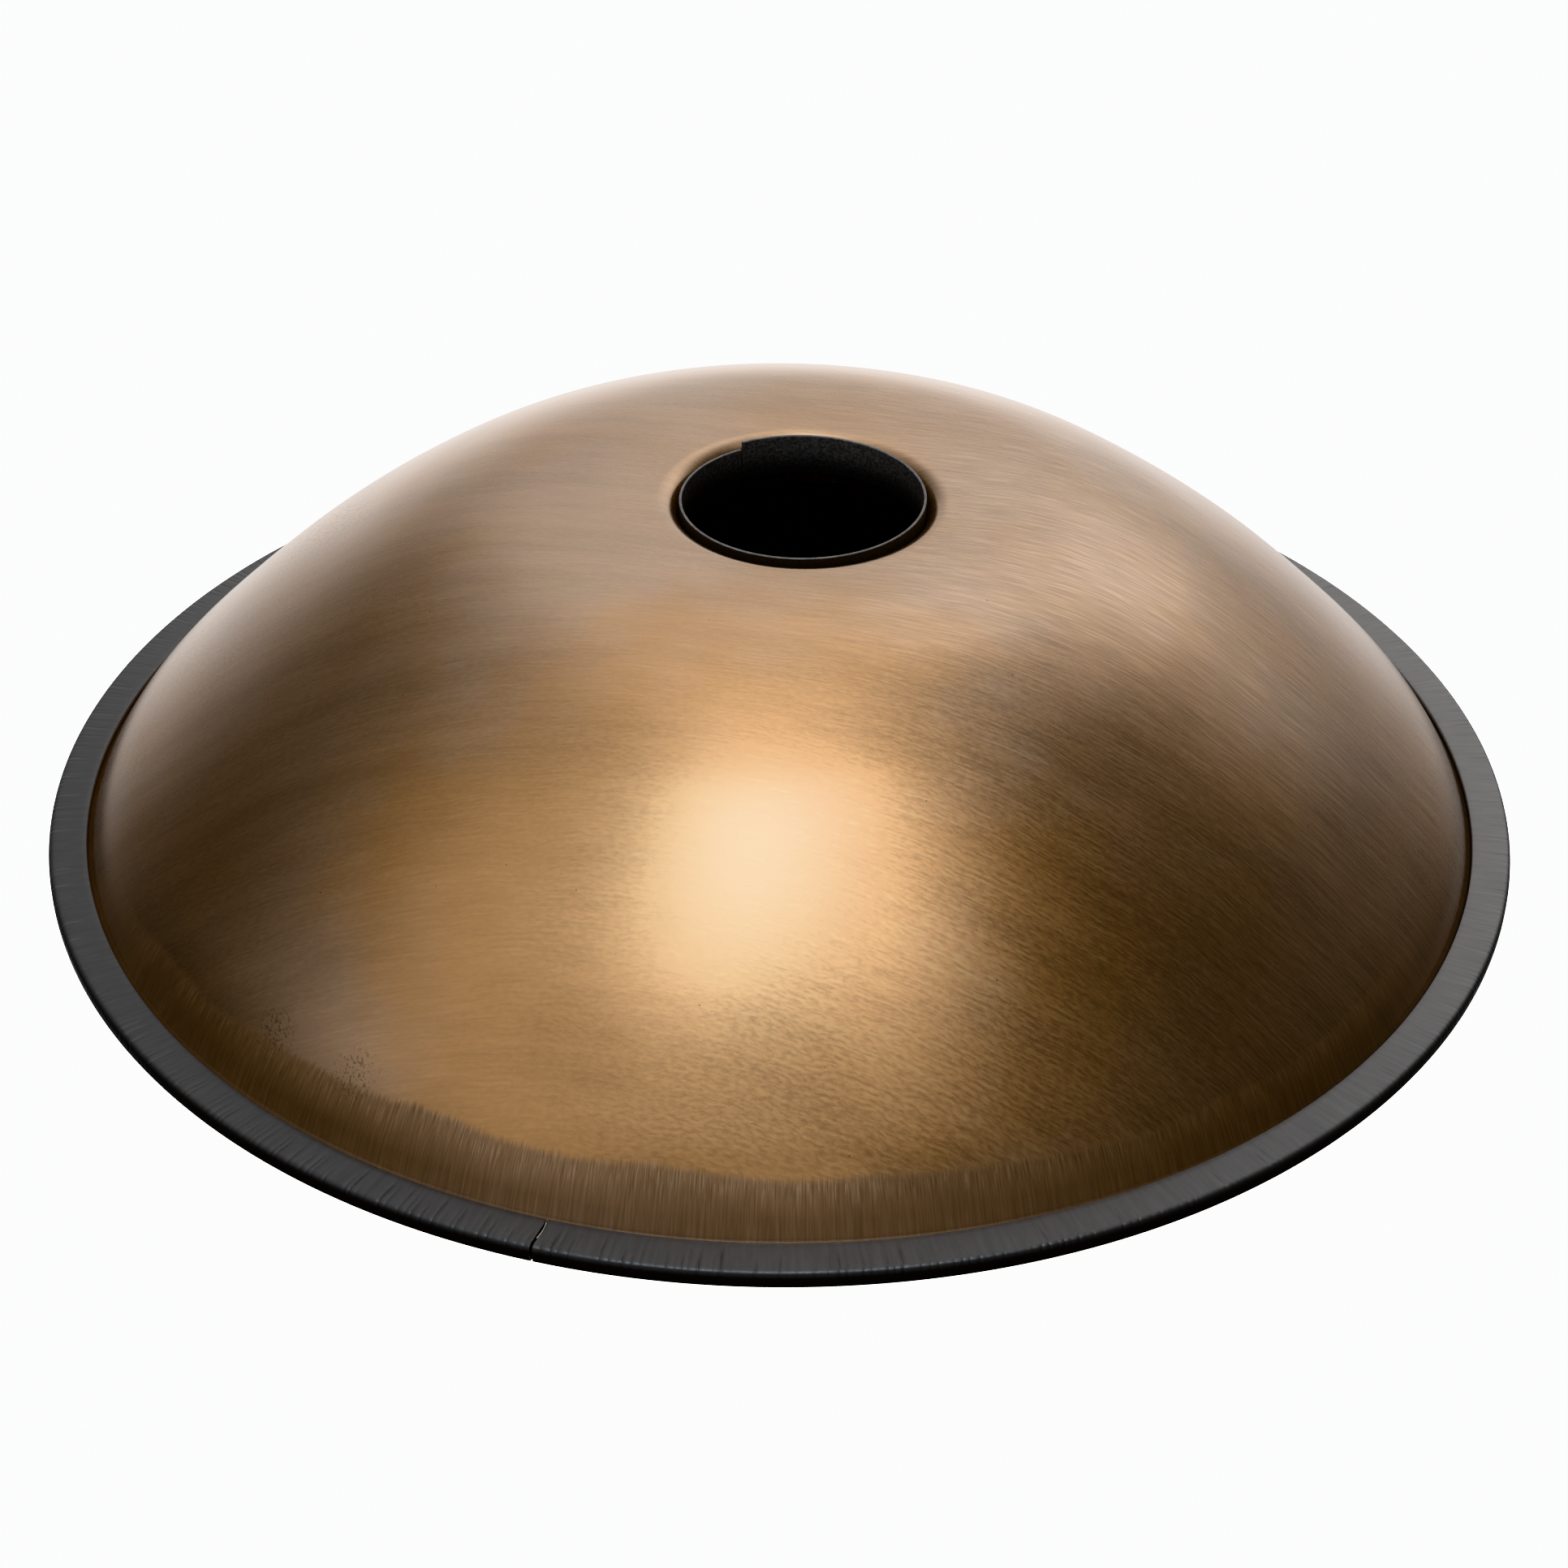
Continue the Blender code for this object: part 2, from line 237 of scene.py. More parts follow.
# ---------------------------------------------------------------- material nodes
class Look:
    """A material, or the world, and short ways to add nodes to it."""

    def __init__(self, name, owner=None):
        self.owner = owner or bpy.data.materials.new(name)
        self.owner.use_nodes = True
        self.tree = self.owner.node_tree
        self.tree.nodes.clear()

    def node(self, kind, inputs=(), **settings):
        made = self.tree.nodes.new(kind)
        for key, value in settings.items():
            setattr(made, key, value)
        for key, value in dict(inputs).items():
            self.feed(made.inputs[key], value)
        return made

    def feed(self, socket, value):
        if isinstance(value, bpy.types.NodeSocket):
            self.tree.links.new(value, socket)
        elif isinstance(value, bpy.types.Node):
            self.tree.links.new(value.outputs[0], socket)
        elif socket.type == "RGBA" and len(value) == 3:
            socket.default_value = (*value, 1.0)
        else:
            socket.default_value = value

    def math(self, operation, *values, clamp=False):
        made = self.node("ShaderNodeMath", operation=operation, use_clamp=clamp)
        for socket, value in zip(made.inputs, values):
            self.feed(socket, value)
        return made.outputs[0]

    def vector(self, operation, *values, output=0):
        made = self.node("ShaderNodeVectorMath", operation=operation)
        for socket, value in zip(made.inputs, values):
            self.feed(socket, value)
        return made.outputs[output]

    def step(self, value, low, high, start=0.0, end=1.0):
        """Smooth step from start to end while value goes from low to high."""
        made = self.node("ShaderNodeMapRange", interpolation_type="SMOOTHSTEP")
        for key, number in zip(("Value", "From Min", "From Max", "To Min", "To Max"),
                               (value, low, high, start, end)):
            self.feed(made.inputs[key], number)
        return made.outputs[0]

    def mix(self, factor, first, second, blend="MIX"):
        made = self.node("ShaderNodeMix", data_type="RGBA", blend_type=blend)
        self.feed(made.inputs[0], factor)
        self.feed(made.inputs[6], first)
        self.feed(made.inputs[7], second)
        return made.outputs[2]

    def noise(self, where, scale, detail=2.0, rough=0.5, output=0):
        made = self.node("ShaderNodeTexNoise", {"Vector": where, "Scale": scale,
                                                "Detail": detail, "Roughness": rough})
        return made.outputs[output]

    def combine(self, x, y, z=0.0):
        return self.node("ShaderNodeCombineXYZ", {0: x, 1: y, 2: z}).outputs[0]

    def place(self):
        """Object coordinates, in metres, and the radius and angle about the axis."""
        where = self.node("ShaderNodeTexCoord").outputs["Object"]
        apart = self.node("ShaderNodeSeparateXYZ", {0: where}).outputs
        radius = self.math("SQRT", self.math("ADD", self.math("MULTIPLY", apart[0], apart[0]),
                                             self.math("MULTIPLY", apart[1], apart[1])))
        angle = self.math("ARCTAN2", apart[1], apart[0])
        return where, apart, radius, angle

    def bump(self, height, distance, strength=1.0, normal=None):
        made = self.node("ShaderNodeBump", {"Height": height, "Distance": distance,
                                            "Strength": strength})
        if normal is not None:
            self.feed(made.inputs["Normal"], normal)
        return made.outputs[0]

    def surface(self, **inputs):
        shader = self.node("ShaderNodeBsdfPrincipled")
        for key, value in inputs.items():
            self.feed(shader.inputs[key.replace("_", " ")], value)
        out = self.node("ShaderNodeOutputMaterial")
        self.tree.links.new(shader.outputs[0], out.inputs["Surface"])
        return self.owner


def brushed_steel(name):
    """Bronze-coloured steel, brushed in one direction, with a radially brushed foot."""
    look = Look(name)
    where, apart, radius, angle = look.place()
    c, s = math.cos(BRUSH_ANGLE), math.sin(BRUSH_ANGLE)
    along = look.math("ADD", look.math("MULTIPLY", apart[0], c),
                      look.math("MULTIPLY", apart[1], s))
    across = look.math("SUBTRACT", look.math("MULTIPLY", apart[1], c),
                       look.math("MULTIPLY", apart[0], s))

    def centred(value, size):
        return look.math("MULTIPLY", look.math("SUBTRACT", value, 0.5), size)

    # short strokes that wander a little, and a pebbly grain where the brushing is coarsest
    wander = look.math("ADD", centred(look.noise(where, 40.0, 1.0), 0.003),
                       centred(look.noise(where, 260.0, 1.0), 0.0004))
    across = look.math("ADD", across, wander)
    strokes = look.noise(look.combine(look.math("MULTIPLY", along, 0.28), across),
                         1250.0, 1.0, 0.5)
    pebbles = look.noise(look.combine(look.math("MULTIPLY", along, 0.6), across, 0.4),
                         1000.0, 1.0, 0.5)
    scratches = look.noise(look.combine(look.math("MULTIPLY", along, 0.05), across, 0.9),
                           1250.0, 1.0, 0.4)
    sweeps = look.noise(look.combine(look.math("MULTIPLY", along, 0.12), across, 0.7),
                        75.0, 4.0, 0.65)
    clouds = look.noise(where, 9.0, 3.0, 0.6)
    patches = look.noise(where, 22.0, 2.0, 0.5)
    far = look.vector("DISTANCE", where, COARSE_SPOT, output=1)
    coarse = look.step(look.math("ADD", far, centred(patches, 0.10)), 0.03, 0.16, 1.0, 0.25)
    grain = look.math("ADD", look.math("MULTIPLY", strokes, 0.80),
                      look.math("MULTIPLY", pebbles, 0.20))

    # foot: streaks that run up the slope, with a ragged upper edge of bright and dark hairs
    around = look.math("MULTIPLY", angle, FOOT_RADIUS)
    uphill = look.math("MULTIPLY", radius, 0.05)
    streaks = look.noise(look.combine(around, uphill), 1150.0, 2.0, 0.7)
    hairs = look.noise(look.combine(around, look.math("MULTIPLY", radius, 0.09), 0.2),
                       1900.0, 1.0, 0.5)
    ragged = look.noise(look.combine(around, 0.0), 700.0, 3.0, 0.75)
    wave = look.math("COSINE", look.math("MULTIPLY_ADD", angle, 3.0, math.radians(324)))
    edge = look.math("ADD", centred(ragged, 0.0044), BAND_INNER)
    edge = look.math("ADD", centred(patches, 0.006), edge)
    edge = look.math("SUBTRACT", edge, look.math("MULTIPLY", wave, BAND_WAVE))
    inset = look.math("SUBTRACT", radius, edge)
    facing = look.math("COSINE", look.math("SUBTRACT", angle, BAND_MIDDLE))
    reach = look.step(facing, math.cos(BAND_END), math.cos(BAND_FADE), 0.10, 1.0)
    band = look.math("MULTIPLY", look.step(inset, -0.0008, 0.0014), reach)
    plain = look.math("SUBTRACT", 1.0, band)
    frayed = look.step(inset, 0.0005, 0.0075, 1.0, 0.35)
    bright_hair = look.math("MULTIPLY", look.step(hairs, 0.56, 0.66), frayed)
    dark_hair = look.math("MULTIPLY", look.step(hairs, 0.44, 0.34), frayed)

    # tone: golden on the front of the dome, greyer and more coppery away from it
    front = look.vector("DISTANCE", where, (-0.025, -0.17, JOINT_Z + 0.05), output=1)
    golden = look.step(look.math("ADD", front, centred(clouds, 0.12)), 0.08, 0.155, 1.0, 0.0)
    copper = look.mix(look.step(clouds, 0.38, 0.62), COPPER, GREYED)
    base = look.mix(golden, copper, GOLD)
    worn = look.mix(look.step(streaks, 0.28, 0.74), WORN_DARK, WORN_LIGHT)
    worn = look.mix(look.math("MULTIPLY", bright_hair, 0.5), worn, HAIR_LIGHT)
    worn = look.mix(look.math("MULTIPLY", dark_hair, 0.45), worn, HAIR_DARK)
    base = look.mix(band, base, worn)
    # painted shade: the hollow at the foot is darkened, and on the right made near black as a painted
    # contact shadow
    crease = look.step(radius, FOOT_RADIUS - 0.0012, FOOT_RADIUS + 0.0006)
    shadowed_right = look.step(apart[0], 0.10, 0.20)
    base = look.mix(crease, base, look.mix(shadowed_right, CREASE_PAINTED_SHADE, CONTACT_SHADOW_PAINTED))
    shade = look.math("MULTIPLY", centred(look.step(grain, 0.32, 0.68), 0.26), coarse)
    lined = look.math("SUBTRACT", look.step(scratches, 0.52, 0.66, 0.0, 0.20),
                      look.step(scratches, 0.48, 0.34, 0.0, 0.14))
    lined = look.math("MULTIPLY", lined, look.step(apart[0], -0.04, 0.12, 0.25, 1.0))
    shade = look.math("MULTIPLY_ADD", look.math("ADD", shade, lined), plain, 1.0)
    tone = look.math("MULTIPLY", shade, look.step(clouds, 0.30, 0.70, 0.95, 1.05))
    tone = look.math("MULTIPLY", tone, look.step(patches, 0.30, 0.70, 0.97, 1.03))
    tone = look.math("MULTIPLY", tone, look.step(sweeps, 0.30, 0.70, 0.94, 1.06))
    tone = look.math("MULTIPLY", tone, look.step(inset, 0.001, 0.014, 1.0, 0.72))
    # painted contact shadow: the foot of the dome is darkened on the right, next to the trim
    painted_contact_shadow = look.math("MULTIPLY", shadowed_right, look.step(radius, FOOT_RADIUS - 0.010, FOOT_RADIUS))
    tone = look.math("MULTIPLY", tone, look.math("MULTIPLY_ADD", painted_contact_shadow, -0.35, 1.0))
    base = look.mix(1.0, base, look.node("ShaderNodeCombineColor",
                                         {0: tone, 1: tone, 2: tone}).outputs[0], "MULTIPLY")

    # a few dark specks, and two scuffs low on the dome where it was handled
    specks = look.node("ShaderNodeTexVoronoi", {"Vector": where, "Scale": 130.0})
    speck = look.math("MULTIPLY", look.step(specks.outputs["Distance"], 0.020, 0.045, 1.0, 0.0),
                      look.step(look.node("ShaderNodeSeparateColor",
                                          {0: specks.outputs["Color"]}).outputs[0], 0.70, 0.72))
    scuff = None
    for azimuth, scuff_radius, size in SCUFFS:
        spot = (scuff_radius * math.cos(azimuth), scuff_radius * math.sin(azimuth),
                JOINT_Z + float(height_at(GU_OUTLINE, scuff_radius)))
        near = look.step(look.vector("DISTANCE", where, spot, output=1), size * 0.3, size, 1.0, 0.0)
        scuff = near if scuff is None else look.math("MAXIMUM", scuff, near)
    slant = look.node("ShaderNodeMapping", {"Vector": where, "Rotation": (0, 0, math.radians(55)),
                                            "Scale": (1.0, 0.3, 1.0)})
    dashes = look.step(look.noise(slant.outputs[0], 1150.0, 2.0, 0.6), 0.54, 0.62)
    scuff = look.math("MULTIPLY", scuff, dashes)
    dirt = look.math("MAXIMUM", speck, look.math("MULTIPLY", scuff, 0.55))
    base = look.mix(dirt, base, DIRT)

    rough = look.step(grain, 0.25, 0.75, 0.26, 0.30)
    rough = look.math("MULTIPLY_ADD", band, 0.10, rough)
    rough = look.math("MULTIPLY_ADD", crease, 0.20, rough)
    rough = look.math("ADD", rough, centred(sweeps, 0.10))
    rough = look.math("ADD", rough, centred(clouds, 0.05))
    metallic = look.math("MULTIPLY_ADD", band, -0.15, 1.0)
    lines = look.math("MULTIPLY", grain, look.math("MULTIPLY", coarse, plain))
    lines = look.math("MULTIPLY_ADD", streaks, band, lines)
    normal = look.bump(lines, BRUSH_DEPTH)
    return look.surface(Base_Color=base, Metallic=metallic, Roughness=rough, Normal=normal,
                        Coat_Weight=COAT_WEIGHT, Coat_Roughness=COAT_ROUGH, Coat_IOR=COAT_IOR)


def inner_steel(name):
    """Inside of the shells: dark scale from the heat treatment, left as it came, and painted darker
    still to near black as the shade inside the closed shells.
    """
    look = Look(name)
    where = look.place()[0]
    scale = look.noise(where, 60.0, 4.0, 0.6)
    grain = look.noise(where, 900.0, 2.0, 0.5)
    # the dark scale is real; its near-black colour is partly painted shade for the closed inside
    base = look.mix(look.step(scale, 0.3, 0.7), (0.012, 0.011, 0.011), (0.030, 0.026, 0.024))
    return look.surface(Base_Color=base, Metallic=0.3, Roughness=look.step(scale, 0.3, 0.7, 0.5, 0.7),
                        Normal=look.bump(grain, 0.00005))


def trim_rubber(name):
    """Black extruded edge trim, satin, with fine cross wrinkles, a painted grey sheen towards the back
    and a painted darker outer side.
    """
    look = Look(name)
    where, apart, radius, angle = look.place()
    around = look.math("MULTIPLY", angle, RIM_RADIUS)
    wrinkle = look.noise(look.combine(around, look.math("MULTIPLY", radius, 0.10)), 430.0, 2.0, 0.6)
    grain = look.noise(where, 2400.0, 2.0, 0.6)
    cloud = look.noise(where, 60.0, 2.0)
    # painted reflection: the rubber is painted lighter grey towards the back right, standing in for
    # the backdrop's sheen
    backdrop_sheen_painted = look.step(look.math("ADD", apart[0], apart[1]), -0.33, 0.45)
    base = look.mix(backdrop_sheen_painted, (0.114, 0.108, 0.106), (0.350, 0.326, 0.310))
    tone = look.step(wrinkle, 0.3, 0.7, 0.92, 1.08)
    base = look.mix(1.0, base, look.combine(tone, tone, tone), "MULTIPLY")
    # painted shade: the outer side is painted darker than the top of the same rubber
    side = look.step(radius, RIM_RADIUS - 0.0016, RIM_RADIUS - 0.0002)
    base = look.mix(look.math("MULTIPLY", side, 0.8), base, (0.042, 0.037, 0.034))
    rough = look.step(wrinkle, 0.3, 0.75, 0.36, 0.32)
    rough = look.math("ADD", rough, look.step(cloud, 0.3, 0.7, -0.02, 0.03))
    height = look.math("MULTIPLY_ADD", grain, 0.16, look.math("MULTIPLY", wrinkle, 0.5))
    return look.surface(Base_Color=base, Roughness=rough, IOR=1.75,
                        Normal=look.bump(height, 0.000018))


def strip_rubber(name):
    """Black strip in the port: a dull rubber with a pebbled skin, paler on the inside."""
    look = Look(name)
    where, apart = look.place()[:2]
    aside = look.math("SUBTRACT", apart[0], PORT_X)
    along = look.math("SUBTRACT", apart[1], PORT_Y)
    radius = look.vector("LENGTH", look.combine(aside, along), output=1)
    pebbles = look.node("ShaderNodeTexVoronoi", {"Vector": where, "Scale": 900.0,
                                                 "Randomness": 1.0}).outputs["Distance"]
    weave = look.noise(where, 900.0, 3.0, 0.6)
    base = look.mix(look.step(weave, 0.3, 0.7), (0.150, 0.142, 0.136), (0.330, 0.310, 0.298))
    outside = look.step(radius, STRIP_OUTSIDE - STRIP_THICK + 0.0003, STRIP_OUTSIDE - 0.0003)
    base = look.mix(outside, base, (0.024, 0.023, 0.022))
    # painted shade: the strip is painted darker, to near black, further down into the port
    port_painted_shade = look.step(apart[2], STRIP_HIGH.z - STRIP_HEIGHT, STRIP_HIGH.z - 0.004, 0.85, 0.0)
    base = look.mix(port_painted_shade, base, (0.020, 0.019, 0.018))
    rough = look.step(weave, 0.25, 0.75, 0.70, 0.50)
    height = look.math("MULTIPLY_ADD", pebbles, 0.6, weave)
    return look.surface(Base_Color=base, Roughness=rough, Normal=look.bump(height, 0.00016))


def strip_edge(name):
    """The strip's upper edge: a smoother skin, painted light grey as a highlight along its rounded
    top.
    """
    look = Look(name)
    where = look.place()[0]
    edge_mottle = look.noise(where, 300.0, 2.0, 0.6)
    # painted highlight: the edge is painted light grey along its top
    base = look.mix(look.step(edge_mottle, 0.3, 0.7), (0.27, 0.25, 0.24), (0.40, 0.375, 0.36))
    return look.surface(Base_Color=base, Roughness=look.step(edge_mottle, 0.3, 0.7, 0.40, 0.55),
                        Normal=look.bump(edge_mottle, 0.00005))


def clip_steel(name):
    """Bright spring steel of the carrier inside the trim, lightly drawn lengthways."""
    look = Look(name)
    _, apart, radius, angle = look.place()
    around = look.math("MULTIPLY", angle, RIM_RADIUS)
    drawn = look.noise(look.combine(look.math("MULTIPLY", around, 0.05), radius, apart[2]),
                       3000.0, 2.0)
    base = look.mix(look.step(drawn, 0.3, 0.7), (0.50, 0.50, 0.49), (0.68, 0.68, 0.66))
    rough = look.step(drawn, 0.3, 0.7, 0.22, 0.38)
    return look.surface(Base_Color=base, Metallic=1.0, Roughness=rough,
                        Normal=look.bump(drawn, 0.00003))


def glue(name):
    """Grey, slightly glossy adhesive with small bubbles."""
    look = Look(name)
    where = look.place()[0]
    cloud = look.noise(where, 240.0, 3.0)
    bubbles = look.node("ShaderNodeTexVoronoi", {"Vector": where, "Scale": 1200.0}).outputs[0]
    base = look.mix(cloud, (0.20, 0.19, 0.16), (0.36, 0.35, 0.31))
    return look.surface(Base_Color=base, Roughness=look.step(cloud, 0.3, 0.7, 0.30, 0.50),
                        Normal=look.bump(look.math("ADD", cloud, bubbles), 0.0001))


# ---------------------------------------------------------------- shells
def foot_line(outline):
    """The hollow from the dome into the flange, and the flange out to its edge."""
    rise = outline[-1][1] - outline[-2][1]
    slope = math.degrees(math.atan2(-rise, outline[-1][0] - outline[-2][0]))
    tangent = FILLET * math.tan(math.radians(slope / 2))
    hollow = arc((FOOT_RADIUS + tangent, FLANGE_TOP + FILLET), FILLET, 270 - slope, 270, 10)
    flange = np.stack([np.linspace(hollow[-1, 0] + 0.002, FLANGE_RADIUS, 4),
                       np.full(4, FLANGE_TOP)], 1)
    return np.vstack([hollow, flange])


def closed_sheet(line):
    """A sheet's closed section: the outer line, then every third inner point on the way back."""
    inner = offset_line(line, SHEET)
    keep = np.arange(len(line)) % 3 == 0
    keep[[0, 1, -2, -1]] = True
    return np.vstack([line, inner[keep][::-1]])


def paint_inside(shell, columns, outer_columns):
    """Give the second look to the faces between the section's inner points."""
    index = np.zeros(len(shell.data.polygons), np.int32)
    for number, polygon in enumerate(shell.data.polygons):
        if min(v % columns for v in polygon.vertices if v < SHELL_SEGMENTS * columns) >= outer_columns:
            index[number] = 1
    shell.data.polygons.foreach_set("material_index", index)


def hand_waves(radius, angle):
    """The shallow unevenness of a hand-finished dome, along its normal."""
    waves = 0.00012 * np.sin(3 * angle + 40 * radius)
    waves += 0.00008 * np.sin(5 * angle - 70 * radius + 1.0)
    fade = smooth((radius - 0.07) / 0.04) * (1.0 - smooth((radius - 0.20) / 0.03))
    return waves * fade


def slope_normal(outline, radius, angle):
    step = 0.0005
    drop = (height_at(outline, radius - step) - height_at(outline, radius + step)) / (2 * step)
    up = 1.0 / np.sqrt(1.0 + drop**2)
    return np.stack([drop * up * np.cos(angle), drop * up * np.sin(angle), up], -1)


def make_gu_shell(look, inside):
    """Upper shell: the dome, the roll into the port's short neck, and the flange."""
    crest, top = GU_OUTLINE[0]
    roll_size = PORT_LIP - PORT_BORE
    neck = np.stack([np.full(5, PORT_BORE), np.linspace(top - PORT_DEPTH, top - roll_size, 5)], 1)
    turned_in = np.radians(np.linspace(0, 90, 21))[1:]
    roll_radii = PORT_LIP - roll_size * np.cos(turned_in)
    roll_height = height_at(GU_OUTLINE, np.maximum(roll_radii, crest))
    roll = np.stack([roll_radii, roll_height - roll_size * (1 - np.sin(turned_in))], 1)
    radii = np.linspace(PORT_LIP, FOOT_RADIUS, 112)[1:-2]
    dome = np.stack([radii, height_at(GU_OUTLINE, radii)], 1)
    line = np.vstack([neck, roll, dome, foot_line(GU_OUTLINE)])
    section = closed_sheet(line)
    angles = np.arange(SHELL_SEGMENTS) * TAU / SHELL_SEGMENTS
    grid = turn(section, angles)
    radius = np.hypot(grid[..., 0], grid[..., 1])
    angle = np.arctan2(grid[..., 1], grid[..., 0])
    inside_dome = np.clip(radius, crest, FOOT_RADIUS)
    grid += slope_normal(GU_OUTLINE, inside_dome, angle) * hand_waves(radius, angle)[..., None]
    grid[..., 0] += PORT_X * (1.0 - smooth((radius - crest) / (PORT_SPREAD - crest)))
    grid[..., 2] += JOINT_Z
    shell = object_from("gu_shell_skin", grid.reshape(-1, 3),
                        ring_faces(SHELL_SEGMENTS, len(section))[:, ::-1], [look, inside])
    paint_inside(shell, len(section), len(line))
    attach(shell, "root")
    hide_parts("gu_shell")
    return shell


def field_press(radius, angle):
    """How far the tone fields and their dimples are pressed into the ding shell."""
    pressed = np.zeros_like(radius)
    for note in range(FIELD_COUNT):
        size = 1.0 + FIELD_SHRINK * (FIELD_COUNT / 2 - note)
        centre = TAU * (note + 0.5) / FIELD_COUNT
        around = np.arctan2(np.sin(angle - centre), np.cos(angle - centre)) * FIELD_RING
        up = (radius - FIELD_RING) * FIELD_STRETCH
        share = np.hypot(around / (FIELD_ALONG * size), up / (FIELD_ACROSS * size))
        pressed += FIELD_DEPTH * (1.0 - smooth((share - FIELD_EDGE) / FIELD_FADE))
        pressed += DIMPLE_DEPTH * (1.0 - smooth(share / DIMPLE_SIZE))
    return pressed


def make_ding_shell(look, inside):
    """Lower, playing shell: the dished ding, its flat ring, eight tone fields, the flange."""
    dish_r = np.linspace(0.0, RING_INNER, 26)[1:]
    dish = np.stack([dish_r, RING_DEPTH - DING_RISE * np.cos(math.pi / 2 * dish_r / RING_INNER)**2], 1)
    ring_r = np.linspace(RING_INNER, RING_OUTER, 8)[1:]
    ring = np.stack([ring_r, np.full(len(ring_r), RING_DEPTH)], 1)
    dome_r = np.linspace(RING_OUTER, FOOT_RADIUS, 96)[1:-2]
    dome = np.stack([dome_r, height_at(DING_OUTLINE, dome_r)], 1)
    line = np.vstack([dish, ring, dome, foot_line(DING_OUTLINE)])
    section = closed_sheet(line)
    angles = np.arange(SHELL_SEGMENTS) * TAU / SHELL_SEGMENTS
    grid = turn(section, angles)
    radius = np.hypot(grid[..., 0], grid[..., 1])
    angle = np.arctan2(grid[..., 1], grid[..., 0])
    on_dome = smooth((radius - RING_OUTER) / 0.008) * (1.0 - smooth((radius - 0.232) / 0.006))
    normal = slope_normal(DING_OUTLINE, np.clip(radius, RING_OUTER, FOOT_RADIUS), angle)
    grid -= normal * (field_press(radius, angle) * on_dome)[..., None]
    grid[..., 2] = JOINT_Z - grid[..., 2]
    columns = len(section)
    faces = [tuple(f) for f in ring_faces(SHELL_SEGMENTS, columns, closed_columns=False)]
    verts = list(grid.reshape(-1, 3))
    for column, flip in ((0, False), (columns - 1, True)):
        tip = RING_DEPTH - DING_RISE - (SHEET if flip else 0.0)
        verts.append((0.0, 0.0, JOINT_Z - tip))
        centre = len(verts) - 1
        for i in range(SHELL_SEGMENTS):
            a, b = i * columns + column, (i + 1) % SHELL_SEGMENTS * columns + column
            faces.append((centre, b, a) if flip else (centre, a, b))
    shell = object_from("ding_shell_skin", verts, faces, [look, inside])
    paint_inside(shell, columns, len(line))
    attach(shell, "root")
    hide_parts("ding_shell")
    return shell


# ---------------------------------------------------------------- rim
def mirrored(upper):
    """A section symmetric about the joint plane, from the points of its upper half."""
    upper = np.asarray(upper)
    return np.vstack([upper, upper[::-1] * (1, -1)])


def seam_wave(radius):
    """Sideways bend of the butt joint: a shallow S from the mouth to the outer edge."""
    share = (radius - (RIM_RADIUS - TRIM_DEPTH)) / TRIM_DEPTH
    return SEAM_SWAY * np.sin(TAU * share * SEAM_TURNS)


def split_ring(section, slit, seam, share, bend=None, shape=None):
    """Grid and faces of a ring turned from a closed section, with capped ends at its seam."""
    sweep = TAU - slit
    angles = seam + slit / 2 + sweep * share
    grid = turn(section, angles)
    radius = np.hypot(grid[..., 0], grid[..., 1])
    if bend is not None:
        distance = np.minimum(share, 1.0 - share) * sweep * RIM_RADIUS
        hold = np.exp(-distance / 0.006)[:, None]
        shift = bend(radius) * hold / np.maximum(radius, 1e-6)
        angle = angles[:, None] + shift
        grid[..., 0], grid[..., 1] = radius * np.cos(angle), radius * np.sin(angle)
    if shape is not None:
        grid = shape(grid, angles)
    grid[..., 2] += JOINT_Z
    columns = len(section)
    faces = [tuple(f) for f in ring_faces(len(share), columns, closed_rows=False)[:, ::-1]]
    faces.append(tuple(range(columns)))
    last = (len(share) - 1) * columns
    faces.append(tuple(range(last + columns - 1, last - 1, -1)))
    return grid, faces


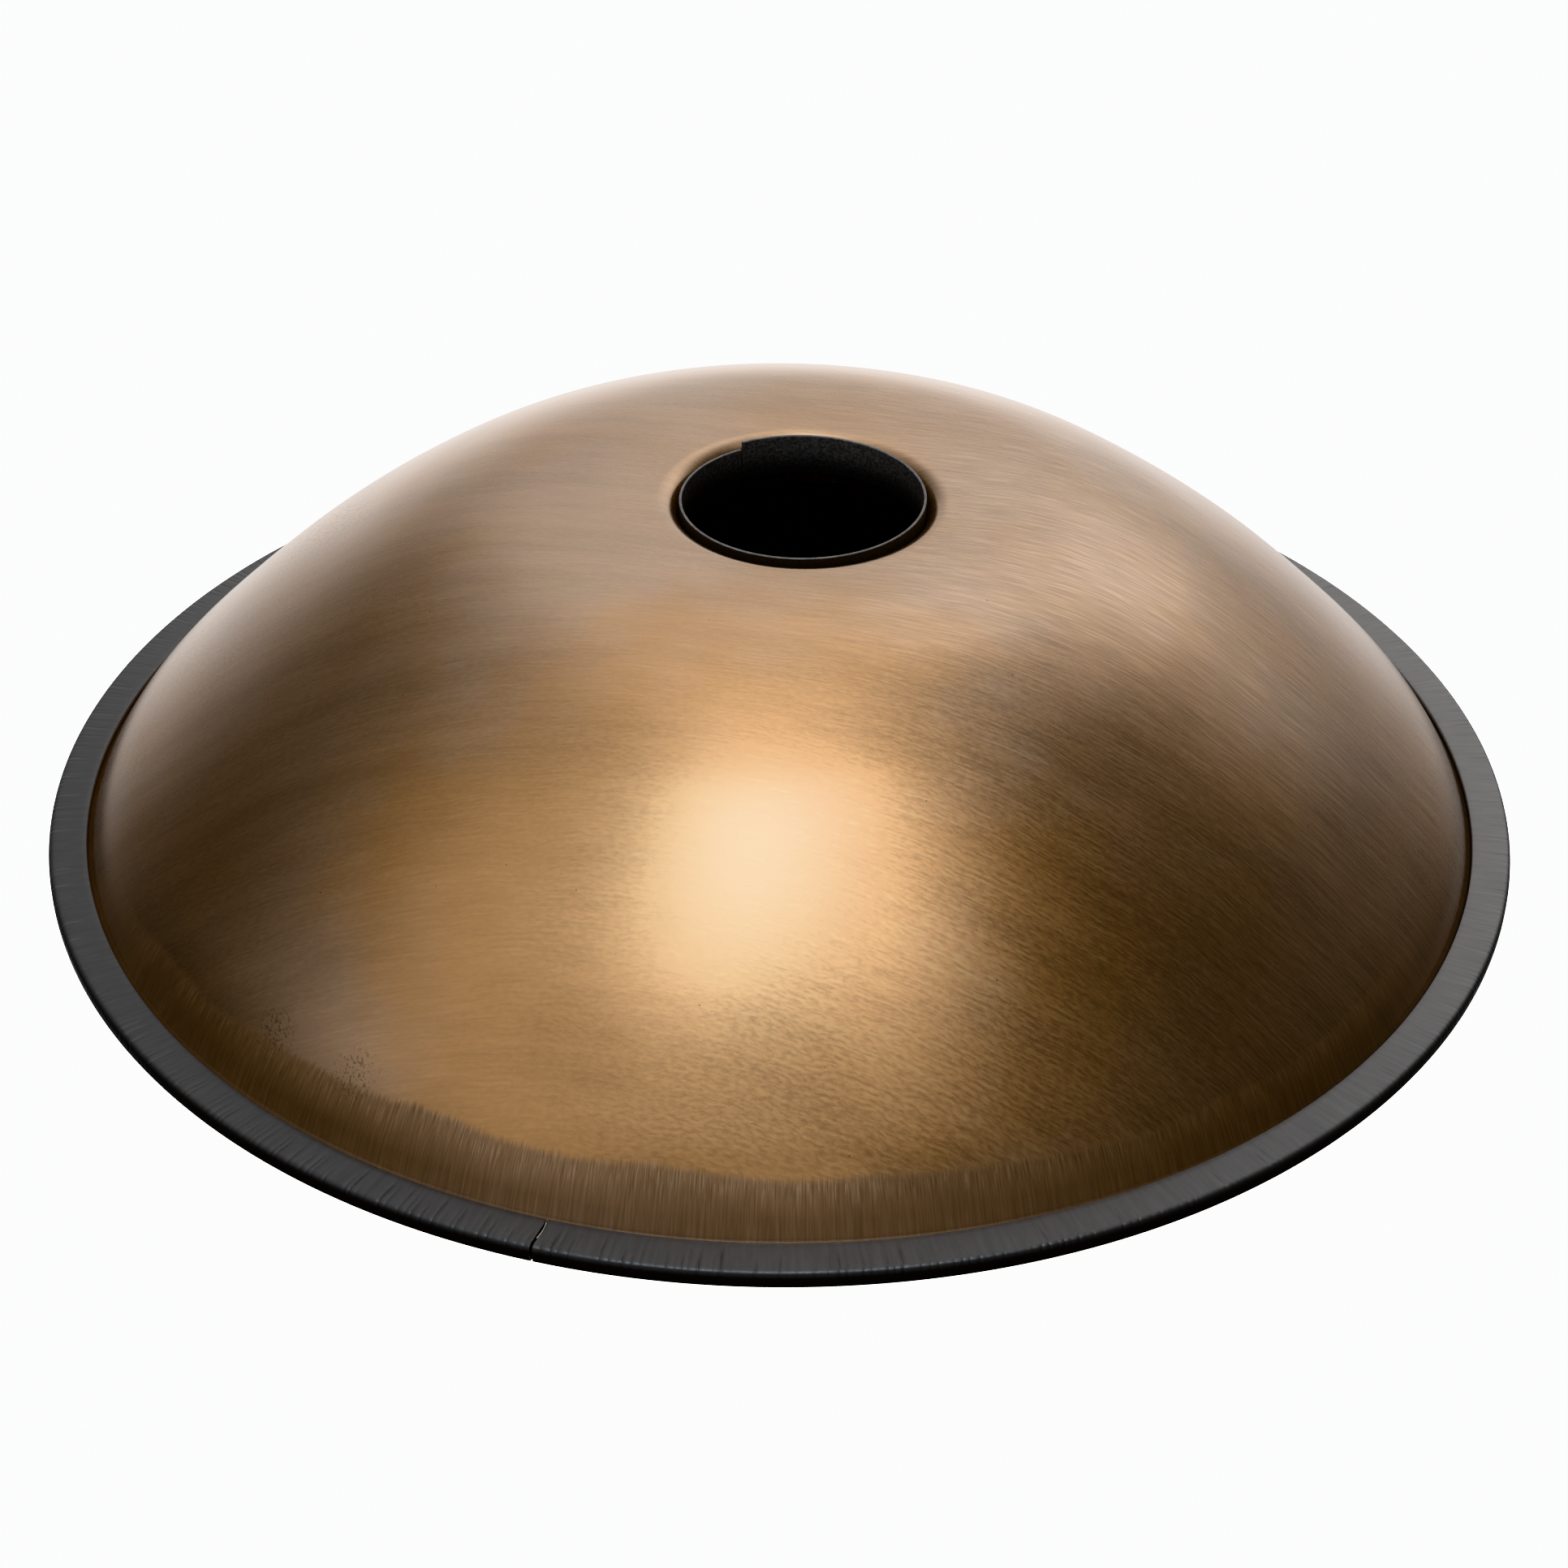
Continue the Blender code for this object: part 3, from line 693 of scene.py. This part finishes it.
def make_rim_trim(look):
    """Split U-shaped trim with rounded outer edges, cross cuts and a butt joint."""
    top = TRIM_THICK / 2
    mouth = RIM_RADIUS - TRIM_DEPTH
    lip = FLANGE_TOP + TOUCH
    ease = TRIM_EASE
    corner = RIM_RADIUS - TRIM_CORNER

    def skin(flat_points, corner_steps):
        """Outside of one half, from the lip at the mouth to the middle of the outer side."""
        flat = np.stack([np.linspace(mouth + ease, corner, flat_points),
                         np.full(flat_points, top)], 1)
        return np.vstack([[(mouth, lip)], arc((mouth + ease, top - ease), ease, 180, 90, 2),
                          flat[1:], arc((corner, top - TRIM_CORNER), TRIM_CORNER, 90, 0,
                                        corner_steps)[1:]])

    inside = [(RIM_RADIUS - TRIM_WALL, top - TRIM_WALL), (mouth + TRIM_LIP, top - TRIM_WALL),
              (mouth + TRIM_LIP, lip)]
    section = np.vstack([skin(7, 7), skin(3, 5)[::-1] * (1, -1), mirrored(inside[::-1])[::-1]])
    count = int(TAU * RIM_RADIUS / RIB_PITCH)
    place = (np.arange(1, count) + rng.uniform(-0.22, 0.22, count - 1)) / count
    cut_depth = RIB_DEPTH * rng.uniform(0.15, 1.0, count - 1)**1.5
    reach = rng.uniform(0.1, 1.0, count - 1)
    half = RIB_WIDTH / 2 / (TAU * RIM_RADIUS)
    share = np.concatenate([[0.0], (place[:, None] + (-half, 0.0, half)).ravel(), [1.0]])
    share = np.sort(np.concatenate([share, (place[1:] + place[:-1]) / 2]))
    middle = np.searchsorted(share, place)

    def cuts(grid, angles):
        """Narrow cross cuts in the upper half, from the outer edge in, each of its own length."""
        rows = grid[middle]
        radius = np.hypot(rows[..., 0], rows[..., 1])
        start = RIM_RADIUS - TRIM_DEPTH * (0.30 + 0.60 * reach[:, None])
        inner = smooth((radius - start) / (TRIM_DEPTH * 0.25))
        skin_points = np.arange(len(section)) < len(skin(7, 7))
        depth = cut_depth[:, None] * inner * skin_points
        tilt = smooth((radius - corner) / TRIM_CORNER)
        rows[..., 2] -= depth * (1.0 - tilt)
        shrink = 1.0 - depth * tilt / radius
        rows[..., 0] *= shrink
        rows[..., 1] *= shrink
        grid[middle] = rows
        return grid

    grid, faces = split_ring(section, TRIM_SLIT / RIM_RADIUS, SEAM, share,
                             bend=seam_wave, shape=cuts)
    trim = object_from("rim_trim_skin", grid.reshape(-1, 3), faces, [look], angle=50)
    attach(trim, "root")
    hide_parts("rim_trim")
    return trim


def make_carrier(look):
    """Spring-steel carrier: a row of U-shaped clips on a thin web, whose end shows in the seam."""
    thick = CARRIER_THICK
    bevel = 0.0003
    mouth = RIM_RADIUS - TRIM_DEPTH + TRIM_LIP + TOUCH
    top = FLANGE_TOP + TOUCH + thick
    web = FLANGE_RADIUS + TOUCH + thick
    outside = [(mouth, top), (web - bevel, top), (web, top - bevel)]
    inside = [(web - thick, top - thick), (mouth, top - thick)]
    clip = np.vstack([mirrored(outside), mirrored(inside[::-1])[::-1]])
    spine = mirrored([(web - thick, 0.0008), (web, 0.0008)])
    verts, faces = [], []

    def add(section, start, sweep, steps):
        angles = start + sweep * np.linspace(0, 1, steps + 1)
        grid = turn(section, angles).reshape(-1, 3) + (0, 0, JOINT_Z)
        base, columns = len(verts), len(section)
        verts.extend(grid)
        for f in ring_faces(steps + 1, columns, closed_rows=False)[:, ::-1]:
            faces.append(tuple(f + base))
        faces.append(tuple(base + np.arange(columns)))
        faces.append(tuple(base + steps * columns + np.arange(columns)[::-1]))

    open_angle = CARRIER_SLIT / 2 / RIM_RADIUS
    pitch = (TAU - 2 * open_angle) / CARRIER_CLIPS
    for number in range(CARRIER_CLIPS):
        start = SEAM + open_angle + number * pitch
        add(clip, start + pitch * (1 - CLIP_SHARE) / 2, pitch * CLIP_SHARE, 2)
        if number < CARRIER_CLIPS - 1:
            add(spine, start + pitch * (1 + CLIP_SHARE) / 2, pitch * (1 - CLIP_SHARE), 1)
    # the cut end of the carrier stands in the butt joint as a thin bright line
    steps = 14
    radius = np.linspace(mouth + 0.0002, mouth + TRIM_DEPTH * 0.56, steps)
    base = len(verts)
    for r in radius:
        angle = SEAM + seam_wave(r) / r
        high = JOINT_Z + TRIM_THICK / 2 - 0.00030
        for side, z in ((-1, top + JOINT_Z), (1, top + JOINT_Z), (1, high), (-1, high)):
            turned = angle + side * 0.00020 / r
            verts.append((r * math.cos(turned), r * math.sin(turned), z))
    for f in ring_faces(steps, 4, closed_rows=False):
        faces.append(tuple(f + base))
    faces.append(tuple(base + np.arange(4)[::-1]))
    faces.append(tuple(base + (steps - 1) * 4 + np.arange(4)))
    carrier = object_from("rim_carrier_clips", verts, faces, [look], angle=30)
    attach(carrier, "root")
    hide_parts("rim_trim_carrier")
    return carrier


def make_adhesive(look):
    """Glue line between the flanges, with a small uneven bead squeezed out inside."""
    half = GLUE_THICK / 2
    inner, outer = GLUE_INNER, GLUE_OUTER
    bead = arc((inner, 0.0), half * 0.98, 90, 270, 6)
    section = np.vstack([bead, [(inner + 0.001, -half), (outer, -half), (outer, half),
                                (inner + 0.001, half)]])
    segments = 360
    angles = np.arange(segments) * TAU / segments
    grid = turn(section, angles)
    squeeze = 0.0007 * (0.5 + 0.5 * np.sin(angles * 23 + 2 * np.sin(angles * 7)))[:, None]
    radius = np.hypot(grid[..., 0], grid[..., 1])
    moved = radius - np.where(radius < inner + 0.0005, squeeze, 0.0)
    grid[..., 0] *= moved / radius
    grid[..., 1] *= moved / radius
    grid[..., 2] += JOINT_Z
    glued = object_from("rim_glue_line", grid.reshape(-1, 3),
                        ring_faces(segments, len(section)), [look])
    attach(glued, "root")
    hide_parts("rim_adhesive")
    return glued


# ---------------------------------------------------------------- port
def make_port_strip(look, edge):
    """Strip that lines the port: rounded edges, and ends that don't quite line up."""
    inner = STRIP_OUTSIDE - STRIP_THICK
    bottom = STRIP_TOP - STRIP_HEIGHT
    ease = 0.00028
    outline = np.vstack([
        arc((STRIP_OUTSIDE - ease, STRIP_TOP - ease), ease, 90, 0, 3),
        np.stack([np.full(11, STRIP_OUTSIDE), np.linspace(STRIP_TOP - 0.001, bottom + 0.001, 11)], 1),
        arc((STRIP_OUTSIDE - ease, bottom + ease), ease, 0, -90, 3),
        arc((inner + ease, bottom + ease), ease, 270, 180, 3),
        np.stack([np.full(11, inner), np.linspace(bottom + 0.001, STRIP_TOP - 0.001, 11)], 1),
        arc((inner + ease, STRIP_TOP - ease), ease, 180, 90, 3)])

    def climb(grid, angles):
        share = ((angles - STRIP_SEAM) % TAU) / TAU
        grid[..., 2] += (STRIP_CLIMB * (share - 0.5))[:, None]
        return grid

    grid, faces = split_ring(outline, STRIP_SLIT / STRIP_OUTSIDE, STRIP_SEAM,
                             np.linspace(0.0, 1.0, 361), shape=climb)
    grid[..., 0] += PORT_X
    grid[..., 1] += PORT_Y
    strip = object_from("port_strip", grid.reshape(-1, 3), faces, [look, edge], angle=50)
    top = np.arange(len(outline)) >= len(outline) - 4
    top[:4] = True
    for polygon in strip.data.polygons:
        if len(polygon.vertices) == 4 and all(top[v % len(outline)] for v in polygon.vertices):
            polygon.material_index = 1
    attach(strip, "root")
    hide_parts("port_trim")
    return strip


# ---------------------------------------------------------------- camera, floor and light
# Where the camera stands. Like the lamps below, these were computed by a fitting program.
CAMERA_ELEVATION = math.radians(34.507)
CAMERA_ROLL = math.radians(0.433)
CAMERA_DISTANCE = 1.10195        # from the rim's centre
CAMERA_LENS = 68.357             # millimetres, on a 36 mm sensor
CAMERA_ASIDE = 0.001416
CAMERA_BELOW = 0.002138

FLOOR_HALF = 12.0
WALL_HEIGHT = 10.0
WHITE_GLOW = 3.0


def make_camera():
    """Camera in front of the object, looking down on it."""
    elevation, roll = CAMERA_ELEVATION, CAMERA_ROLL
    forward = Vector((0, math.cos(elevation), -math.sin(elevation)))
    level = Vector((1, 0, 0))
    raised = level.cross(forward)
    right = math.cos(roll) * level + math.sin(roll) * raised
    up = -math.sin(roll) * level + math.cos(roll) * raised
    data = bpy.data.cameras.new("camera")
    data.sensor_width = 36.0
    data.lens = CAMERA_LENS
    data.clip_start = 0.05
    camera = bpy.data.objects.new("camera", data)
    turned = Matrix((right, up, -forward)).transposed()
    where = Vector((0, 0, JOINT_Z)) - forward * CAMERA_DISTANCE
    where += level * CAMERA_ASIDE
    where -= raised * CAMERA_BELOW
    camera.matrix_world = Matrix.Translation(where) @ turned.to_4x4()
    bpy.context.scene.collection.objects.link(camera)
    bpy.context.scene.camera = camera


def make_floor():
    """Large white studio floor, and a white wall round it that throws no light or shadow."""
    look = Look("studio_white")
    white = (0.92, 0.92, 0.92)
    look.surface(Base_Color=white, Roughness=0.9, Emission_Color=(1.0, 1.0, 1.0),
                 Emission_Strength=WHITE_GLOW)
    size = FLOOR_HALF
    corners = [(-size, -size, 0), (size, -size, 0), (size, size, 0), (-size, size, 0)]
    floor = object_from("studio_floor", corners, [(0, 1, 2, 3)], [look.owner])
    upper = [(x, y, WALL_HEIGHT) for x, y, _ in corners]
    sides = [(i, (i + 1) % 4, (i + 1) % 4 + 4, i + 4) for i in range(4)]
    wall = object_from("studio_wall", corners + upper, sides, [look.owner])
    wall.visible_shadow = False
    for item in (floor, wall):
        item.location.z = CAD_LOW.z - TOUCH
        item.visible_glossy = False
        item.visible_diffuse = False


def toward(azimuth, elevation):
    """Unit vector from the object; azimuth 0 is the camera's side, 90 the object's right."""
    a, e = math.radians(azimuth), math.radians(elevation)
    return (math.cos(e) * math.sin(a), -math.cos(e) * math.cos(a), math.sin(e))


# Azimuth and elevation of each lamp's middle, its spread (all in degrees) and its strength.
# All the strengths, and about half of the directions and spreads, come from a fitting program:
# they are data, not a lighting plan.
KEY_COLOUR = (0.88, 1.17, 1.42)      # the large key softbox overhead is cooler than the rest
KEY_PANELS = ((-10, 76, 2.8, 1.12), (-10, 76, 4.5, 2.11), (-10, 70, 5.0, 1.39),
              (-22, 72, 6.0, 1.48))
SOFTBOXES = {
    "top_right": (20, 80, 6, 1.44),
    "top_side": (40, 75, 11, 0.65),
    "top_back": (-172, 78, 7, 0.67),
    "front_left": (-24, 58, 6, 0.77),
    "front_right": (28, 60, 6, 0.87),
    "front_high": (0, 50, 7, 0.08),
    "front": (5, 36, 6, 0.34),
    "front_low": (0, 5, 14, 0.25),
    "front_low_left": (-30, 22, 14, 0.35),
    "front_low_right": (30, 22, 14, 0.17),
    "left": (-65, 42, 15, 0.33),
    "left_high": (-60, 68, 10, 0.11),
    "left_back": (-120, 74, 27, 0.33),
    "right": (98, 18, 30, 0.05),
    "backdrop": (173, 45, 17, 0.54),
    "backdrop_high": (180, 62, 9, 0.16),
    "backdrop_right": (143, 27, 12, 0.64),
    "backdrop_low": (-178, -20, 23, 1.19),
}


def make_studio_light():
    """Soft studio light all round: softboxes overhead, a lit backdrop behind, dark sides."""
    world = bpy.context.scene.world or bpy.data.worlds.new("studio")
    bpy.context.scene.world = world
    look = Look("studio", owner=world)
    direction = look.node("ShaderNodeTexCoord").outputs["Generated"]

    def glow(panels):
        """Sum of soft round patches of light."""
        total = 0.0
        for azimuth, elevation, spread, strength in panels:
            facing = look.vector("DOT_PRODUCT", direction, toward(azimuth, elevation), output=1)
            fall = look.math("MULTIPLY", look.math("SUBTRACT", facing, 1.0),
                             1.0 / math.radians(spread)**2)
            total = look.math("MULTIPLY_ADD", look.math("EXPONENT", fall), strength, total)
        return total

    key = look.vector("MULTIPLY", KEY_COLOUR, glow(KEY_PANELS))
    colour = look.vector("ADD", key, glow(SOFTBOXES.values()))
    background = look.node("ShaderNodeBackground", {"Color": colour, "Strength": 1.0})
    out = look.node("ShaderNodeOutputWorld")
    look.tree.links.new(background.outputs[0], out.inputs["Surface"])
    bpy.context.scene.view_settings.view_transform = "Khronos PBR Neutral"
    bpy.context.scene.view_settings.look = "None"


make_camera()
make_floor()
make_studio_light()
scale_and_shade_look = inner_steel("inner_scale_and_shade")
make_gu_shell(brushed_steel("bronze_gu"), scale_and_shade_look)
make_ding_shell(brushed_steel("bronze_ding"), scale_and_shade_look)
make_rim_trim(trim_rubber("edge_trim_rubber"))
make_carrier(clip_steel("carrier_spring_steel"))
make_adhesive(glue("flange_glue"))
make_port_strip(strip_rubber("port_strip_rubber"), strip_edge("port_strip_edge"))
